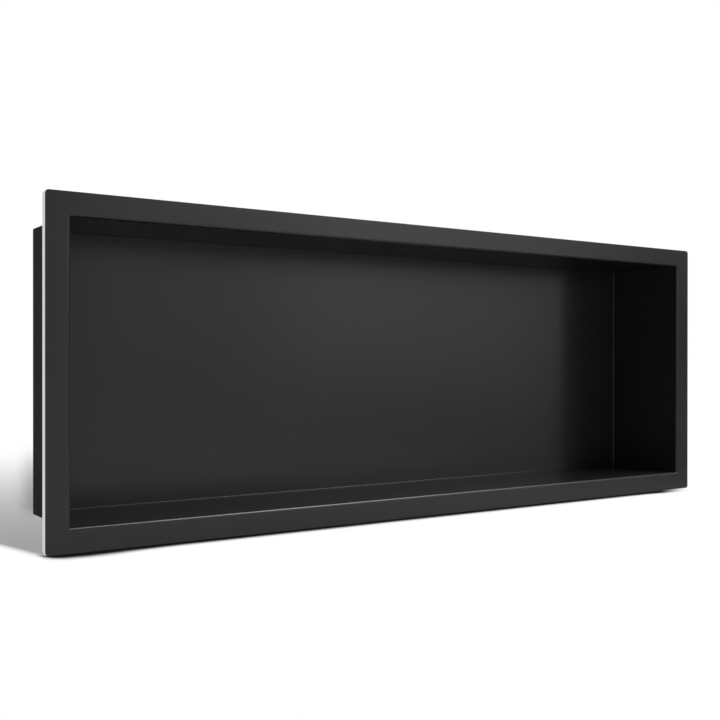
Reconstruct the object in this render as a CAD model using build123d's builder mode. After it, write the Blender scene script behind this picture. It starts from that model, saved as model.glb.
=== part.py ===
"""Shower niche insert: one folded and welded sheet shell that lines a recess in a tiled wall.

The frame has its origin at the middle of the wall plane, on which the flange's lip rests.
X runs along the niche, Y points into the wall and Z points up. Lengths are in millimetres.
"""
from build123d import *
import os

# Driving dimensions
opening_width = 914.4        # clear width of the recess
opening_height = 304.8       # clear height of the recess
recess_depth = 120.5         # from the flange's front face to the back of the recess
flange_width = 25.0          # from a recess wall to the flange's outer edge
lip_depth = 9.0              # from the flange's front face to the lip's free edge
sheet = 2.0                  # thickness of the steel
bend_inside = 1.0            # inside radius of the fold from the walls to the flange
weld_inside = 1.0            # radius of the welded edges inside the recess
weld_outside = 1.0           # radius of the same edges outside, ground after welding
flange_corner = 4.0          # radius of the flange's corners, seen from the front
lip_edge = 0.4               # broken edge of the crisp fold between the flange and its lip

# Sizes that follow
bend_outside = bend_inside + sheet
flange_outer_width = opening_width + 2 * flange_width
flange_outer_height = opening_height + 2 * flange_width
box_outer_width = opening_width + 2 * sheet
box_outer_height = opening_height + 2 * sheet
lip_inner_width = flange_outer_width - 2 * sheet
lip_inner_height = flange_outer_height - 2 * sheet
lip_inner_corner = flange_corner - sheet

# Planes across the depth, all looking into the wall
wall_plane = Plane(origin=(0, 0, 0), x_dir=(1, 0, 0), z_dir=(0, 1, 0))
front_plane = wall_plane.offset(-lip_depth)
flange_rear_plane = front_plane.offset(sheet)

with BuildPart() as niche_shell:
    # Flange block, as deep as its lip, with the crisp edge round its front face
    with BuildSketch(front_plane):
        RectangleRounded(flange_outer_width, flange_outer_height, flange_corner)
    extrude(amount=lip_depth)
    fillet(niche_shell.edges().group_by(Axis.Y)[0], radius=lip_edge)

    # Hollow behind the flange, which leaves the face and the lip at sheet thickness
    with BuildSketch(flange_rear_plane):
        RectangleRounded(lip_inner_width, lip_inner_height, lip_inner_corner)
    extrude(amount=lip_depth - sheet, mode=Mode.SUBTRACT)

    # Box behind the flange, with its welded corners and back edges ground round
    with BuildSketch(flange_rear_plane):
        Rectangle(box_outer_width, box_outer_height)
    extrude(amount=recess_depth)
    _, box_corners, box_back_edges = niche_shell.edges(Select.LAST).group_by(Axis.Y)
    fillet(box_corners + box_back_edges, radius=weld_outside)

    # Hidden side of the fold at the mouth, where the flange's rear face meets the box
    fillet(niche_shell.edges(Select.LAST).group_by(Axis.Y)[0], radius=bend_inside)

    # Recess, open at the front, with the welds rounded inside along its corners and back edges
    with BuildSketch(front_plane):
        Rectangle(opening_width, opening_height)
    extrude(amount=recess_depth, mode=Mode.SUBTRACT)
    _, recess_corners, recess_back_edges = niche_shell.edges(Select.LAST).group_by(Axis.Y)
    fillet(recess_corners + recess_back_edges, radius=weld_inside)

    # Shown side of the fold at the mouth, from the flange's front face into the recess
    fillet(niche_shell.edges(Select.LAST).group_by(Axis.Y)[0], radius=bend_outside)

niche_shell.part.label = "niche_shell"

os.makedirs("parts", exist_ok=True)
export_step(niche_shell.part, "parts/niche_shell.step")
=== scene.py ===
"""Dresses a shower niche insert: a folded sheet shell with a satin black coat and a bare steel lip."""

import logging
import math
from dataclasses import dataclass, field
from enum import Enum, IntEnum

import bmesh
import bpy
from mathutils import Matrix, Vector


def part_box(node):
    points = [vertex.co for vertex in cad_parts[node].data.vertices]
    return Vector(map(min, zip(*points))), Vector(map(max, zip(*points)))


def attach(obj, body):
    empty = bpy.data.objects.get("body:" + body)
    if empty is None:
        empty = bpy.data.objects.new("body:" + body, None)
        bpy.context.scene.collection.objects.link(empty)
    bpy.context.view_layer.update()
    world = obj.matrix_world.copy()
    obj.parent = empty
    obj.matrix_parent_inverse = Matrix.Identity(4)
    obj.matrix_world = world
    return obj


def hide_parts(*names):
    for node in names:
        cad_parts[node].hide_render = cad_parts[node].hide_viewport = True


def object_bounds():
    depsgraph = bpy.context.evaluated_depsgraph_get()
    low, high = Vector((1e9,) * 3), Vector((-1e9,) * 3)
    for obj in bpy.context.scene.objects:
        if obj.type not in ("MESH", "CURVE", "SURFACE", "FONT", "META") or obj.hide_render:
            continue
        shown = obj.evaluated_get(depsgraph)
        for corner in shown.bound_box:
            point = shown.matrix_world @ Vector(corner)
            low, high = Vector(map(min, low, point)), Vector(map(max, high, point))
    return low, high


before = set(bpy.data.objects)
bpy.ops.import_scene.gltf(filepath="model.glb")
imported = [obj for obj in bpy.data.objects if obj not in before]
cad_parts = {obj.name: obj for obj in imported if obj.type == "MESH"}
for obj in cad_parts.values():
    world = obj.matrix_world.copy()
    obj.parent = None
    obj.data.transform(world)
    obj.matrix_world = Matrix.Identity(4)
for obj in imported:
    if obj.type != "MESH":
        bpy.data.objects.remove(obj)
cad_low, cad_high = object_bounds()

log = logging.getLogger("niche")

MM = 0.001
IMAGE_SIDE = 720
SENSOR = 36.0
QUARTER_TURN = math.radians(90.0)
ROUND_PROFILE = 0.5
NEIGHBOUR_FINISH = -1
DRIFT_RELIEF = 0.25
NODE = "niche_shell"
BODY = "root"
WHITE = (1.0, 1.0, 1.0, 1.0)

# A span is where a smooth change starts and ends. A line is a slope and the span across it.
Span = tuple[float, float]
Line = tuple[float, float, float]
Colour = tuple[float, float, float]
Socket = bpy.types.NodeSocket
Node = bpy.types.Node
Edges = list[bmesh.types.BMEdge]
Faces = list[bmesh.types.BMFace]


class Finish(IntEnum):
    """Material slots of the shell's mesh."""

    COAT = 0
    STEEL = 1
    DULL = 2


class RecordSlot(Enum):
    """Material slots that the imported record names."""

    COAT = "black_coat"
    STEEL = "bare_steel"


class NodeBoard:
    """A node tree with short ways to add nodes and to join them."""

    def __init__(self, tree: bpy.types.NodeTree) -> None:
        """Takes the tree over and empties it.

        Args:
            tree: The node tree to fill.
        """
        self.tree = tree
        tree.nodes.clear()

    def add(self, kind: str, **settings: object) -> Node:
        """Adds a node.

        Args:
            kind: The node's type name.
            **settings: Attributes of the node, set by name.

        Returns:
            The new node.
        """
        node = self.tree.nodes.new(kind)
        for name, value in settings.items():
            setattr(node, name, value)
        return node

    def set(self, node: Node, **values: object) -> Node:
        """Sets constant values on a node's input sockets.

        Args:
            node: The node to set.
            **values: Socket names, with _ for a space, and their values.

        Returns:
            The same node.
        """
        for name, value in values.items():
            node.inputs[name.replace("_", " ")].default_value = value
        return node

    def join(self, source: Socket, target: Socket) -> None:
        """Links two sockets.

        Args:
            source: The output socket.
            target: The input socket.
        """
        self.tree.links.new(source, target)

    def maths(self, operation: str, first: Socket, second: Socket | float, clamp: bool = False) -> Socket:
        """Adds a sum of two values.

        Args:
            operation: The kind of sum.
            first: The first value.
            second: The second value, linked or constant.
            clamp: Whether the result stays between 0 and 1.

        Returns:
            The result's socket.
        """
        node = self.add("ShaderNodeMath", operation=operation, use_clamp=clamp)
        self.join(first, node.inputs[0])
        if isinstance(second, Socket):
            self.join(second, node.inputs[1])
        else:
            node.inputs[1].default_value = second
        return node.outputs[0]

    def size(self, value: Socket) -> Socket:
        """Adds a value's size, whatever its sign.

        Args:
            value: The value.

        Returns:
            The size's socket.
        """
        node = self.add("ShaderNodeMath", operation="ABSOLUTE")
        self.join(value, node.inputs[0])
        return node.outputs[0]

    def blend(self, share: Socket, first: Colour, second: Colour) -> Socket:
        """Adds a blend of two colours.

        Args:
            share: How much of the second colour shows.
            first: The first colour.
            second: The second colour.

        Returns:
            The blended colour's socket.
        """
        node = self.add("ShaderNodeMix", data_type="RGBA")
        colours = [socket for socket in node.inputs if socket.type == "RGBA"]
        for socket, colour in zip(colours, (first, second)):
            socket.default_value = (*colour, 1.0)
        self.join(share, node.inputs["Factor"])
        return next(socket for socket in node.outputs if socket.type == "RGBA")

    def ramp(self, value: Socket, start: float, end: float, low: float = 0.0, high: float = 1.0) -> Socket:
        """Adds a smooth rise.

        Args:
            value: The value that the rise follows.
            start: Where the rise starts.
            end: Where it ends.
            low: What it rises from.
            high: What it rises to.

        Returns:
            The rise's socket.
        """
        node = self.add("ShaderNodeMapRange", interpolation_type="SMOOTHSTEP")
        self.set(node, From_Min=start, From_Max=end, To_Min=low, To_Max=high)
        self.join(value, node.inputs["Value"])
        return node.outputs["Result"]

    def glow(self, strength: Socket) -> Node:
        """Adds a white shader that gives off light.

        Args:
            strength: How strong the light is.

        Returns:
            The shader.
        """
        node = self.set(self.add("ShaderNodeEmission"), Color=WHITE)
        self.join(strength, node.inputs["Strength"])
        return node

    def mix(self, share: Socket, first: Node, second: Node) -> Node:
        """Adds a mix of two shaders.

        Args:
            share: How much of the second shader shows.
            first: The first shader.
            second: The second shader.

        Returns:
            The mixed shader.
        """
        node = self.add("ShaderNodeMixShader")
        for source, target in zip((share, first.outputs[0], second.outputs[0]), node.inputs):
            self.join(source, target)
        return node


def surface_grain() -> bpy.types.NodeTree:
    """Makes the shared group for the fine grain of a surface.

    Returns:
        A group that turns a position into an even grain, a slow drift and a height.
    """
    group = bpy.data.node_groups.get("surface_grain")
    if group:
        return group
    group = bpy.data.node_groups.new("surface_grain", "ShaderNodeTree")
    sides = group.interface
    sides.new_socket("Position", in_out="INPUT", socket_type="NodeSocketVector")
    for name in ("Grain Scale", "Drift Scale"):
        sides.new_socket(name, in_out="INPUT", socket_type="NodeSocketFloat")
    for name in ("Grain", "Drift", "Height"):
        sides.new_socket(name, in_out="OUTPUT", socket_type="NodeSocketFloat")
    board = NodeBoard(group)
    inlet = board.add("NodeGroupInput")
    outlet = board.add("NodeGroupOutput")
    grain = board.set(board.add("ShaderNodeTexNoise"), Detail=2.0, Roughness=0.55)
    drift = board.set(board.add("ShaderNodeTexNoise"), Detail=3.0, Roughness=0.5)
    for noise, name in ((grain, "Grain"), (drift, "Drift")):
        board.join(inlet.outputs["Position"], noise.inputs["Vector"])
        board.join(inlet.outputs[name + " Scale"], noise.inputs["Scale"])
        board.join(noise.outputs["Fac"], outlet.inputs[name])
    swell = board.maths("MULTIPLY", drift.outputs["Fac"], DRIFT_RELIEF)
    board.join(board.maths("ADD", grain.outputs["Fac"], swell), outlet.inputs["Height"])
    return group


@dataclass(frozen=True)
class Surface:
    """What the coats and the steel have in common: a shader fed by the shared grain."""

    name: str
    dark: Colour
    light: Colour
    rough_low: float
    rough_high: float
    metallic: float
    ior: float
    stretch: tuple[float, float, float]
    grain_scale: float
    drift_scale: float
    bump_height: float

    def material(self) -> bpy.types.Material:
        """Makes the material.

        Returns:
            A material whose colour, roughness and relief follow the grain.
        """
        material = bpy.data.materials.new(self.name)
        material.use_nodes = True
        board = NodeBoard(material.node_tree)
        place = board.add("ShaderNodeTexCoord")
        turn = board.set(board.add("ShaderNodeMapping"), Scale=self.stretch)
        grain = board.add("ShaderNodeGroup", node_tree=surface_grain())
        board.set(grain, Grain_Scale=self.grain_scale, Drift_Scale=self.drift_scale)
        rough = board.set(board.add("ShaderNodeMapRange"), To_Min=self.rough_low, To_Max=self.rough_high)
        relief = board.set(board.add("ShaderNodeBump"), Distance=self.bump_height)
        shader = board.set(board.add("ShaderNodeBsdfPrincipled"), Metallic=self.metallic, IOR=self.ior)
        out = board.add("ShaderNodeOutputMaterial")
        board.join(place.outputs["Object"], turn.inputs["Vector"])
        board.join(turn.outputs["Vector"], grain.inputs["Position"])
        board.join(grain.outputs["Grain"], rough.inputs["Value"])
        board.join(grain.outputs["Height"], relief.inputs["Height"])
        board.join(board.blend(grain.outputs["Drift"], self.dark, self.light), shader.inputs["Base Color"])
        board.join(rough.outputs["Result"], shader.inputs["Roughness"])
        board.join(relief.outputs["Normal"], shader.inputs["Normal"])
        board.join(shader.outputs["BSDF"], out.inputs["Surface"])
        return material


BLACK_COAT = Surface(
    name=RecordSlot.COAT.value,
    dark=(0.009, 0.009, 0.0091),
    light=(0.012, 0.012, 0.0121),
    rough_low=0.21,
    rough_high=0.28,
    metallic=0.0,
    ior=1.4,
    stretch=(1.0, 1.0, 1.0),
    grain_scale=1400.0,
    drift_scale=5.0,
    bump_height=0.00002,
)

BARE_STEEL = Surface(
    name=RecordSlot.STEEL.value,
    dark=(0.56, 0.555, 0.56),
    light=(0.66, 0.655, 0.66),
    rough_low=0.26,
    rough_high=0.38,
    metallic=1.0,
    ior=1.5,
    stretch=(0.02, 1.0, 0.02),
    grain_scale=2600.0,
    drift_scale=40.0,
    bump_height=0.000004,
)

DULL_COAT = Surface(
    name="dull_coat",
    dark=(0.023, 0.023, 0.0233),
    light=(0.032, 0.032, 0.0323),
    rough_low=0.80,
    rough_high=0.95,
    metallic=0.0,
    ior=1.12,
    stretch=(1.0, 1.0, 1.0),
    grain_scale=700.0,
    drift_scale=9.0,
    bump_height=0.00004,
)

FINISHES = {Finish.COAT: BLACK_COAT, Finish.STEEL: BARE_STEEL, Finish.DULL: DULL_COAT}


def round_off(mesh: bmesh.types.BMesh, edges: Edges, radius: float, steps: int) -> Faces:
    """Rounds edges to a radius.

    Args:
        mesh: The mesh that the edges are in.
        edges: The edges to round.
        radius: Radius of the round.
        steps: Number of faces across it.

    Returns:
        The faces of the rounds.
    """
    return bmesh.ops.bevel(
        mesh,
        geom=edges,
        offset=radius,
        offset_type="OFFSET",
        affect="EDGES",
        segments=steps,
        profile=ROUND_PROFILE,
        material=NEIGHBOUR_FINISH,
    )["faces"]


@dataclass
class Skin:
    """One side of the sheet: an open box, the flange round its mouth and the lip round the flange.

    A loop round the mouth is told by how far its sides lie from the box's walls, and its corner radius.
    """

    mesh: bmesh.types.BMesh
    half: Vector
    front: float
    back: float
    weld: float
    fold: float
    reach: float
    rim_corner: float
    free_edge: float = 0.0
    ring_folds: float = 2.0
    weld_steps: int = 8
    fold_steps: int = 10

    def box(self) -> Edges:
        """Makes the box, open at the front, with its welded corners and back edges rounded.

        Returns:
            The edges round the mouth.
        """
        depth = self.back - self.front
        size = Vector((2 * self.half.x, depth, 2 * self.half.z))
        middle = Vector((0.0, self.front + depth / 2, 0.0))
        place = Matrix.Translation(middle) @ Matrix.Diagonal((*size, 1.0))
        verts = bmesh.ops.create_cube(self.mesh, size=1.0, matrix=place)["verts"]
        faces = {face for vert in verts for face in vert.link_faces}
        mouth = min(faces, key=lambda face: face.calc_center_median().y)
        bmesh.ops.delete(self.mesh, geom=[mouth], context="FACES_ONLY")
        edges = {edge for vert in verts for edge in vert.link_edges}
        welds = [edge for edge in edges if not edge.is_boundary]
        rounds = round_off(self.mesh, welds, self.weld, self.weld_steps)
        corners = {vert for face in rounds for vert in face.verts}
        around = {edge for vert in corners for edge in vert.link_edges}
        return [edge for edge in around if edge.is_boundary]

    def spread(self, edges: Edges, was: tuple[float, float], now: tuple[float, float]) -> Edges:
        """Extrudes a loop round the mouth outwards or inwards, in its own plane.

        Args:
            edges: The loop to extrude.
            was: The loop's reach and corner radius.
            now: The same for the new loop.

        Returns:
            The new loop's edges.
        """
        made = bmesh.ops.extrude_edge_only(self.mesh, edges=edges)["geom"]
        flat = Vector((1.0, 0.0, 1.0))
        old_centre, new_centre = [self.half + flat * (reach - radius) for reach, radius in (was, now)]
        for vert in (item for item in made if isinstance(item, bmesh.types.BMVert)):
            side = Vector((math.copysign(1.0, vert.co.x), 0.0, math.copysign(1.0, vert.co.z)))
            way = (vert.co * flat - old_centre * side).normalized()
            vert.co = new_centre * side + way * now[1] + Vector((0.0, vert.co.y, 0.0))
        return [item for item in made if isinstance(item, bmesh.types.BMEdge) and item.is_boundary]

    def build(self) -> tuple[Edges, Edges, Faces]:
        """Makes the skin.

        Returns:
            The flange's rim, the lip's free edges and the lip's faces.
        """
        mouth = self.box()
        margin = self.ring_folds * self.fold
        past_fold = (margin, self.weld + margin)
        ring = self.spread(mouth, (0.0, self.weld), past_fold)
        rim = self.spread(ring, past_fold, (self.reach, self.rim_corner))
        turned = bmesh.ops.extrude_edge_only(self.mesh, edges=rim)["geom"]
        lip = [item for item in turned if isinstance(item, bmesh.types.BMFace)]
        moved = [item for item in turned if isinstance(item, bmesh.types.BMVert)]
        bmesh.ops.translate(self.mesh, verts=moved, vec=(0.0, self.free_edge - self.front, 0.0))
        free = [edge for edge in {edge for face in lip for edge in face.edges} if edge.is_boundary]
        round_off(self.mesh, mouth, self.fold, self.fold_steps)
        return rim, free, lip


@dataclass
class NicheShell:
    """The folded and welded sheet shell: recess, flange and turned-back lip."""

    low: Vector
    high: Vector
    flange_width: float = 25.0 * MM
    sheet: float = 2.0 * MM
    bend_inside: float = 1.0 * MM
    weld_inside: float = 1.0 * MM
    weld_outside: float = 1.0 * MM
    flange_corner: float = 4.0 * MM
    lip_edge: float = 0.4 * MM
    edge_steps: int = 4
    seam_reach: float = 0.02 * MM
    sharp_angle: float = math.radians(40.0)
    mesh: bmesh.types.BMesh = field(default_factory=bmesh.new)

    @property
    def half_opening(self) -> Vector:
        """Measures the recess.

        Returns:
            Half its clear width and height, in X and Z.
        """
        return Vector((self.high.x - self.flange_width, 0.0, self.high.z - self.flange_width))

    def shown_skin(self) -> Skin:
        """Describes the side that is seen.

        Returns:
            The recess, the flange's face and the lip's outside.
        """
        return Skin(
            mesh=self.mesh,
            half=self.half_opening,
            front=self.low.y,
            back=self.high.y - self.sheet,
            weld=self.weld_inside,
            fold=self.bend_inside + self.sheet,
            reach=self.flange_width,
            rim_corner=self.flange_corner,
        )

    def hidden_skin(self) -> Skin:
        """Describes the side towards the wall.

        Returns:
            The outside of the box, the flange's back and the lip's inside.
        """
        return Skin(
            mesh=self.mesh,
            half=self.half_opening + Vector((self.sheet, 0.0, self.sheet)),
            front=self.low.y + self.sheet,
            back=self.high.y,
            weld=self.weld_outside,
            fold=self.bend_inside,
            reach=self.flange_width - 2 * self.sheet,
            rim_corner=self.flange_corner - self.sheet,
        )

    def join_skins(self) -> None:
        """Builds both skins, closes the lip's free edge between them and marks their finishes."""
        shown, hidden = self.shown_skin(), self.hidden_skin()
        rim, shown_free, lip = shown.build()
        outside = (self.flange_width, self.flange_corner)
        inside = (self.flange_width - self.sheet, self.flange_corner - self.sheet)
        inner = shown.spread(shown_free, outside, inside)
        for face in lip + [face for edge in inner for face in edge.link_faces]:
            face.material_index = Finish.STEEL
        shown_faces = set(self.mesh.faces)
        _, hidden_free, _ = hidden.build()
        for face in set(self.mesh.faces) - shown_faces:
            face.material_index = Finish.DULL
        seam = {vert for edge in inner + hidden_free for vert in edge.verts}
        bmesh.ops.remove_doubles(self.mesh, verts=list(seam), dist=self.seam_reach)
        bmesh.ops.recalc_face_normals(self.mesh, faces=self.mesh.faces[:])
        for face in round_off(self.mesh, rim, self.lip_edge, self.edge_steps):
            face.material_index = Finish.COAT

    def shade(self) -> None:
        """Shades the folds smooth and keeps the square edges of the sheet sharp."""
        for face in self.mesh.faces:
            face.smooth = True
        for edge in self.mesh.edges:
            edge.smooth = edge.calc_face_angle() < self.sharp_angle

    def build(self) -> bpy.types.Object:
        """Builds the shell and dresses it.

        Returns:
            The finished object, with panels that shade flat up to their folds.
        """
        self.join_skins()
        self.shade()
        data = bpy.data.meshes.new(NODE + "_dressed")
        self.mesh.to_mesh(data)
        self.mesh.free()
        for finish in Finish:
            data.materials.append(FINISHES[finish].material())
        piece = bpy.data.objects.new(NODE + "_dressed", data)
        bpy.context.scene.collection.objects.link(piece)
        weighted = piece.modifiers.new("flat_panels", "WEIGHTED_NORMAL")
        weighted.keep_sharp = True
        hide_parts(NODE)
        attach(piece, BODY)
        return piece


@dataclass(frozen=True)
class SoftBox:
    """A rectangular studio lamp that looks at the niche.

    The azimuth runs from straight in front of the niche towards its right, and both angles are in degrees.
    The brightness is that of the lamp's face, where 1 is white.
    """

    name: str
    azimuth: float
    elevation: float
    brightness: float
    distance: float = 7.5
    width: float = 2.5
    height: float = 2.5

    @property
    def place(self) -> Vector:
        """Finds the lamp's stand.

        Returns:
            Where the lamp's middle is.
        """
        turn, rise = math.radians(self.azimuth), math.radians(self.elevation)
        level = self.distance * math.cos(rise)
        return Vector((level * math.sin(turn), -level * math.cos(turn), self.distance * math.sin(rise)))

    def build(self) -> bpy.types.Object:
        """Makes the lamp.

        Returns:
            The lamp, turned towards the niche's middle.
        """
        data = bpy.data.lights.new(self.name, "AREA")
        data.shape = "RECTANGLE"
        data.size = self.width
        data.size_y = self.height
        data.energy = self.brightness * math.pi * self.width * self.height
        lamp = bpy.data.objects.new(self.name, data)
        lamp.location = self.place
        lamp.rotation_euler = (-self.place).to_track_quat("-Z", "Y").to_euler()
        bpy.context.scene.collection.objects.link(lamp)
        return lamp


@dataclass(frozen=True)
class Viewpoint:
    """The photograph's camera: to the left of the niche, almost level."""

    place: tuple[float, float, float] = (-0.76333, -0.95537, 0.00916)
    yaw: float = math.radians(33.092)
    pitch: float = math.radians(-0.151)
    roll: float = math.radians(0.022)
    focal_px: float = 981.44
    centre_px: tuple[float, float] = (336.72, 365.82)

    def build(self) -> bpy.types.Object:
        """Makes the scene's camera.

        Returns:
            The camera.
        """
        data = bpy.data.cameras.new("camera")
        data.sensor_width = SENSOR
        data.lens = self.focal_px / IMAGE_SIDE * SENSOR
        data.shift_x = 0.5 - self.centre_px[0] / IMAGE_SIDE
        data.shift_y = self.centre_px[1] / IMAGE_SIDE - 0.5
        camera = bpy.data.objects.new("camera", data)
        level = Matrix.Rotation(-self.yaw, 4, "Z") @ Matrix.Rotation(QUARTER_TURN + self.pitch, 4, "X")
        turn = level @ Matrix.Rotation(self.roll, 4, "Z")
        camera.location = self.place
        camera.rotation_euler = turn.to_euler()
        bpy.context.scene.collection.objects.link(camera)
        bpy.context.scene.camera = camera
        return camera


def white_share(board: NodeBoard, depth: Socket, edge: Span, seen: Socket) -> Socket:
    """Adds the share of plain white that a ray meets.

    Args:
        board: The tree to add to.
        depth: How far back the ray ends or goes.
        edge: Between which depths the white sets in for reflections.
        seen: The share that the camera sees.

    Returns:
        The share's socket.
    """
    path = board.add("ShaderNodeLightPath")
    glints = board.maths("ADD", path.outputs["Is Glossy Ray"], path.outputs["Is Transmission Ray"])
    mirrored = board.maths("MULTIPLY", glints, board.ramp(depth, *edge))
    return board.maths("ADD", mirrored, seen, clamp=True)


@dataclass
class Floor:
    """The white floor, with a painted contact shade at the niche's foot and a soft painted shadow behind
    it.

    The camera sees the painted contact shade and the painted shadow, and other rays meet a plainer floor.
    """

    level: float
    side: float = 60.0
    colour: float = 0.76
    lift: float = 0.22
    white_far: Span = (0.9, 2.6)
    # The slanting line where the painted shadow ends to the left of the niche.
    painted_shadow_edge: Line = (0.235, -0.469, -0.496)
    # Painted light: the camera sees plain white to the right of the niche, over the lamps' shadow there.
    painted_light_right: Line = (-1.28, 0.43, 0.50)
    white_mirrored: Span = (-0.02, 0.0)
    # Painted shadow that the camera sees behind the niche and to its left, which no lamp casts, with a
    # darker painted patch next to the box.
    painted_shadow_dark: float = 0.35
    painted_shadow_front: Span = (-0.004, 0.004)
    painted_shadow_left: Span = (-0.484, -0.490)
    painted_shadow_fade: Span = (-0.04, 1.2)
    painted_shadow_side: Span = (0.5, 0.9)
    box_shadow_share: float = 0.61
    box_shadow_line: Line = (-0.2665, -0.518, -0.475)
    box_shadow_near: Span = (0.20, 0.35)
    box_shadow_far: Span = (1.6, 0.3)
    # Painted contact shade: the floor darkens where ambient occlusion finds the niche's foot.
    contact_shade_reach: float = 0.112
    contact_shade_samples: int = 64
    contact_shade_open: Span = (0.72, 0.88)
    contact_shade_share: float = 0.008
    contact_shade_side: Span = (0.480, 0.492)
    contact_shade_back: Span = (-0.007, -0.001)
    # Painted shade for reflections: other rays meet a floor that is dim to the right and dark for steep
    # rays.
    dim_colour: float = 0.30
    dim_along: Span = (0.1, 0.8)
    slant_blend: float = 0.5
    left_slant: Span = (0.14, 0.34)
    right_slant: Span = (0.40, 0.80)

    def beyond(self, board: NodeBoard, place: Node, line: Line) -> Socket:
        """Adds the mask of the floor on the far side of a slanting line.

        Args:
            board: The tree to add to.
            place: The node that splits a place on the floor.
            line: The line's slope, and where the mask starts and ends.

        Returns:
            The mask's socket.
        """
        slope, start, end = line
        lean = board.maths("MULTIPLY", place.outputs["Y"], slope)
        return board.ramp(board.maths("ADD", place.outputs["X"], lean), start, end)

    def contact_shade(self, board: NodeBoard, place: Node) -> Socket:
        """Adds the painted contact shade: how much light the floor shows, little where ambient occlusion
        finds the niche's foot in front of it.

        Args:
            board: The tree to add to.
            place: The node that splits a place on the floor.

        Returns:
            The share's socket.
        """
        near = board.add("ShaderNodeAmbientOcclusion", samples=self.contact_shade_samples)
        board.set(near, Distance=self.contact_shade_reach)
        clear = board.ramp(near.outputs["AO"], *self.contact_shade_open, low=self.contact_shade_share)
        clear = board.maths("MAXIMUM", clear, board.ramp(place.outputs["Y"], *self.contact_shade_back))
        return board.maths("MAXIMUM", clear, board.ramp(board.size(place.outputs["X"]), *self.contact_shade_side))

    def painted_shadow(self, board: NodeBoard, place: Node) -> Socket:
        """Adds the painted shadow behind the niche: darkest near it and fading farther back, with a darker
        painted patch next to the box.

        Args:
            board: The tree to add to.
            place: The node that splits a place on the floor.

        Returns:
            The lightness's socket.
        """
        depth = place.outputs["Y"]
        # Darker painted patch next to the box, inside the painted shadow.
        near = board.ramp(depth, *self.box_shadow_near)
        far = board.ramp(depth, *self.box_shadow_far)
        box_shadow = board.maths("MULTIPLY", near, far)
        box_shadow = board.maths("MULTIPLY", box_shadow, self.beyond(board, place, self.box_shadow_line))
        light = board.ramp(depth, *self.painted_shadow_fade, low=self.painted_shadow_dark)
        light = board.maths("MULTIPLY", light, board.ramp(box_shadow, 0.0, 1.0, low=1.0, high=self.box_shadow_share))
        light = board.maths("MAXIMUM", light, self.beyond(board, place, self.painted_shadow_edge))
        return board.maths("MAXIMUM", light, board.ramp(board.size(place.outputs["X"]), *self.painted_shadow_side))

    def shown(self, board: NodeBoard, place: Node) -> Node:
        """Adds the shader that the camera sees.

        Args:
            board: The tree to add to.
            place: The node that splits a place on the floor.

        Returns:
            A lit floor in front of the niche with the painted contact shade at its foot, and the painted
            shadow behind it and to its left.
        """
        # Painted contact shade: the lit floor's colour and glow are darkened by ambient occlusion at the
        # niche's foot.
        share = self.contact_shade(board, place)
        pale = board.add("ShaderNodeBsdfDiffuse")
        board.join(board.maths("MULTIPLY", share, self.colour), pale.inputs["Color"])
        glow = board.glow(board.maths("MULTIPLY", share, self.lift))
        lit = board.add("ShaderNodeAddShader")
        for shader, target in zip((pale, glow), lit.inputs):
            board.join(shader.outputs[0], target)
        # Behind and left of the niche, the camera sees the painted shadow instead of the lit floor.
        behind = board.ramp(place.outputs["Y"], *self.painted_shadow_front)
        left = board.ramp(place.outputs["X"], *self.painted_shadow_left)
        return board.mix(board.maths("MAXIMUM", behind, left), lit, board.glow(self.painted_shadow(board, place)))

    def unseen(self, board: NodeBoard, place: Node) -> Node:
        """Adds the shader that other rays meet, with painted shade that shows in the niche's reflections.

        Args:
            board: The tree to add to.
            place: The node that splits a place on the floor.

        Returns:
            A floor that is pale to the left and dim to the right, and dark for steep rays, as painted shade
            for reflections.
        """
        along = place.outputs["X"]
        slant = board.set(board.add("ShaderNodeLayerWeight"), Blend=self.slant_blend).outputs["Facing"]
        left = board.ramp(along, *self.dim_along, low=self.colour, high=0.0)
        left = board.maths("MULTIPLY", left, board.ramp(slant, *self.left_slant))
        right = board.ramp(along, *self.dim_along, low=0.0, high=self.dim_colour)
        right = board.maths("MULTIPLY", right, board.ramp(slant, *self.right_slant))
        shader = board.add("ShaderNodeBsdfDiffuse")
        board.join(board.maths("ADD", left, right), shader.inputs["Color"])
        return shader

    def material(self) -> bpy.types.Material:
        """Makes the floor's finish.

        Returns:
            The finish, plain white farther off, painted white to the right of the niche over the lamps'
            shadow, and white behind the niche where it is mirrored.
        """
        material = bpy.data.materials.new("floor")
        material.use_nodes = True
        board = NodeBoard(material.node_tree)
        spot = board.add("ShaderNodeTexCoord").outputs["Object"]
        place = board.add("ShaderNodeSeparateXYZ")
        length = board.add("ShaderNodeVectorMath", operation="LENGTH")
        for node in (place, length):
            board.join(spot, node.inputs[0])
        camera = board.add("ShaderNodeLightPath").outputs["Is Camera Ray"]
        far = board.ramp(length.outputs["Value"], *self.white_far)
        # Painted light: plain white to the right of the niche, over the lamps' shadow there.
        bare = board.maths("MAXIMUM", far, self.beyond(board, place, self.painted_light_right))
        seen = board.maths("MULTIPLY", camera, bare)
        share = white_share(board, place.outputs["Y"], self.white_mirrored, seen)
        floor = board.mix(camera, self.unseen(board, place), self.shown(board, place))
        white = board.set(board.add("ShaderNodeEmission"), Color=WHITE, Strength=1.0)
        out = board.add("ShaderNodeOutputMaterial")
        board.join(board.mix(share, floor, white).outputs[0], out.inputs["Surface"])
        return material

    def build(self) -> bpy.types.Object:
        """Makes the floor.

        Returns:
            The floor.
        """
        grid = bmesh.new()
        place = Matrix.Translation((0.0, 0.0, self.level))
        bmesh.ops.create_grid(grid, x_segments=1, y_segments=1, size=self.side / 2, matrix=place)
        data = bpy.data.meshes.new("floor")
        grid.to_mesh(data)
        grid.free()
        data.materials.append(self.material())
        floor = bpy.data.objects.new("floor", data)
        bpy.context.scene.collection.objects.link(floor)
        return floor


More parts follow.
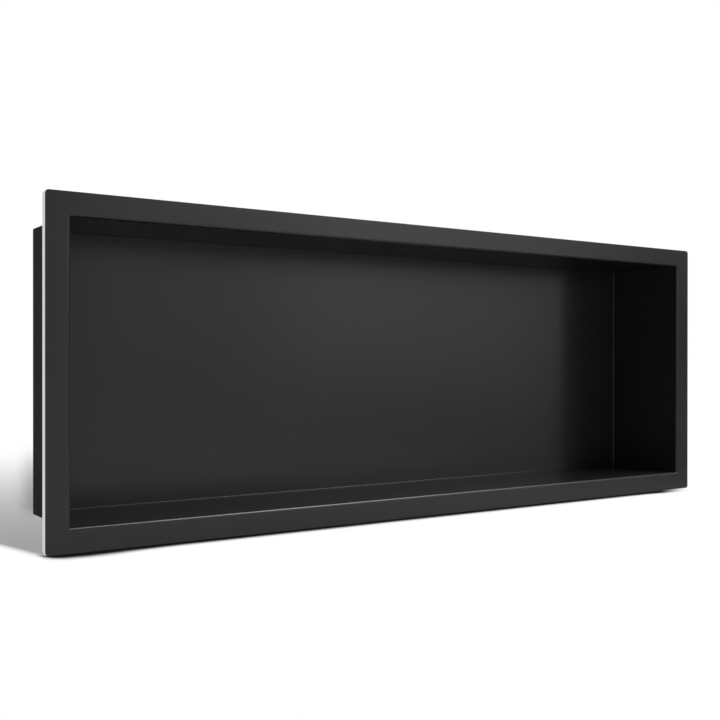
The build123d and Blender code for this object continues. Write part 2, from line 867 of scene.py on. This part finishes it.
@dataclass
class Studio:
    """White floor and backdrop, a darker room in front, and soft lamps."""

    floor: Floor
    room: float = 0.03
    backdrop: Span = (-0.05, 0.15)
    lamps: tuple[SoftBox, ...] = (
        SoftBox("top", 50.0, 52.0, 12.0),
        SoftBox("top_right", 75.0, 52.0, 5.8),
        SoftBox("high_right", 90.0, 68.0, 14.0),
        SoftBox("high_front", 30.0, 68.0, 3.5),
        SoftBox("middle", 55.0, 36.0, 1.8),
        SoftBox("front", 30.0, 22.0, 1.2),
        SoftBox("front_right", 50.0, 22.0, 1.7),
        SoftBox("right", 70.0, 14.0, 1.6),
        SoftBox("low_front", 10.0, 8.0, 0.55),
        SoftBox("low_middle", 25.0, 8.0, 0.96),
        SoftBox("low_right", 40.0, 8.0, 1.3),
        SoftBox("low_left", -30.0, 8.0, 3.1),
        SoftBox("side", -90.0, 28.0, 4.0),
    )

    def surroundings(self) -> None:
        """Makes the world: a white backdrop behind the niche, and a dim room everywhere else."""
        world = bpy.data.worlds.new("surroundings")
        bpy.context.scene.world = world
        world.use_nodes = True
        board = NodeBoard(world.node_tree)
        way = board.add("ShaderNodeSeparateXYZ")
        board.join(board.add("ShaderNodeTexCoord").outputs["Generated"], way.inputs[0])
        seen = board.add("ShaderNodeLightPath").outputs["Is Camera Ray"]
        share = white_share(board, way.outputs["Y"], self.backdrop, seen)
        white = board.set(board.add("ShaderNodeBackground"), Color=WHITE, Strength=1.0)
        dim = board.set(board.add("ShaderNodeBackground"), Color=WHITE, Strength=self.room)
        out = board.add("ShaderNodeOutputWorld")
        board.join(board.mix(share, dim, white).outputs[0], out.inputs["Surface"])

    def build(self) -> None:
        """Builds the floor, the surroundings and the lamps."""
        floor = self.floor.build()
        log.info("%s, %.1f m wide", floor.name, self.floor.side)
        self.surroundings()
        for lamp in self.lamps:
            lamp.build()
            log.info("lamp %s", lamp.name)
        bpy.context.scene.view_settings.view_transform = "Standard"


def main() -> None:
    """Builds the niche, its studio and the camera, in that order."""
    logging.basicConfig(level=logging.INFO)
    shell = NicheShell(*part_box(NODE)).build()
    log.info("%s: %d faces", shell.name, len(shell.data.polygons))
    Studio(Floor(cad_low.z)).build()
    camera = Viewpoint().build()
    log.info("%s at %s", camera.name, tuple(camera.location))


if __name__ == "__main__":
    main()
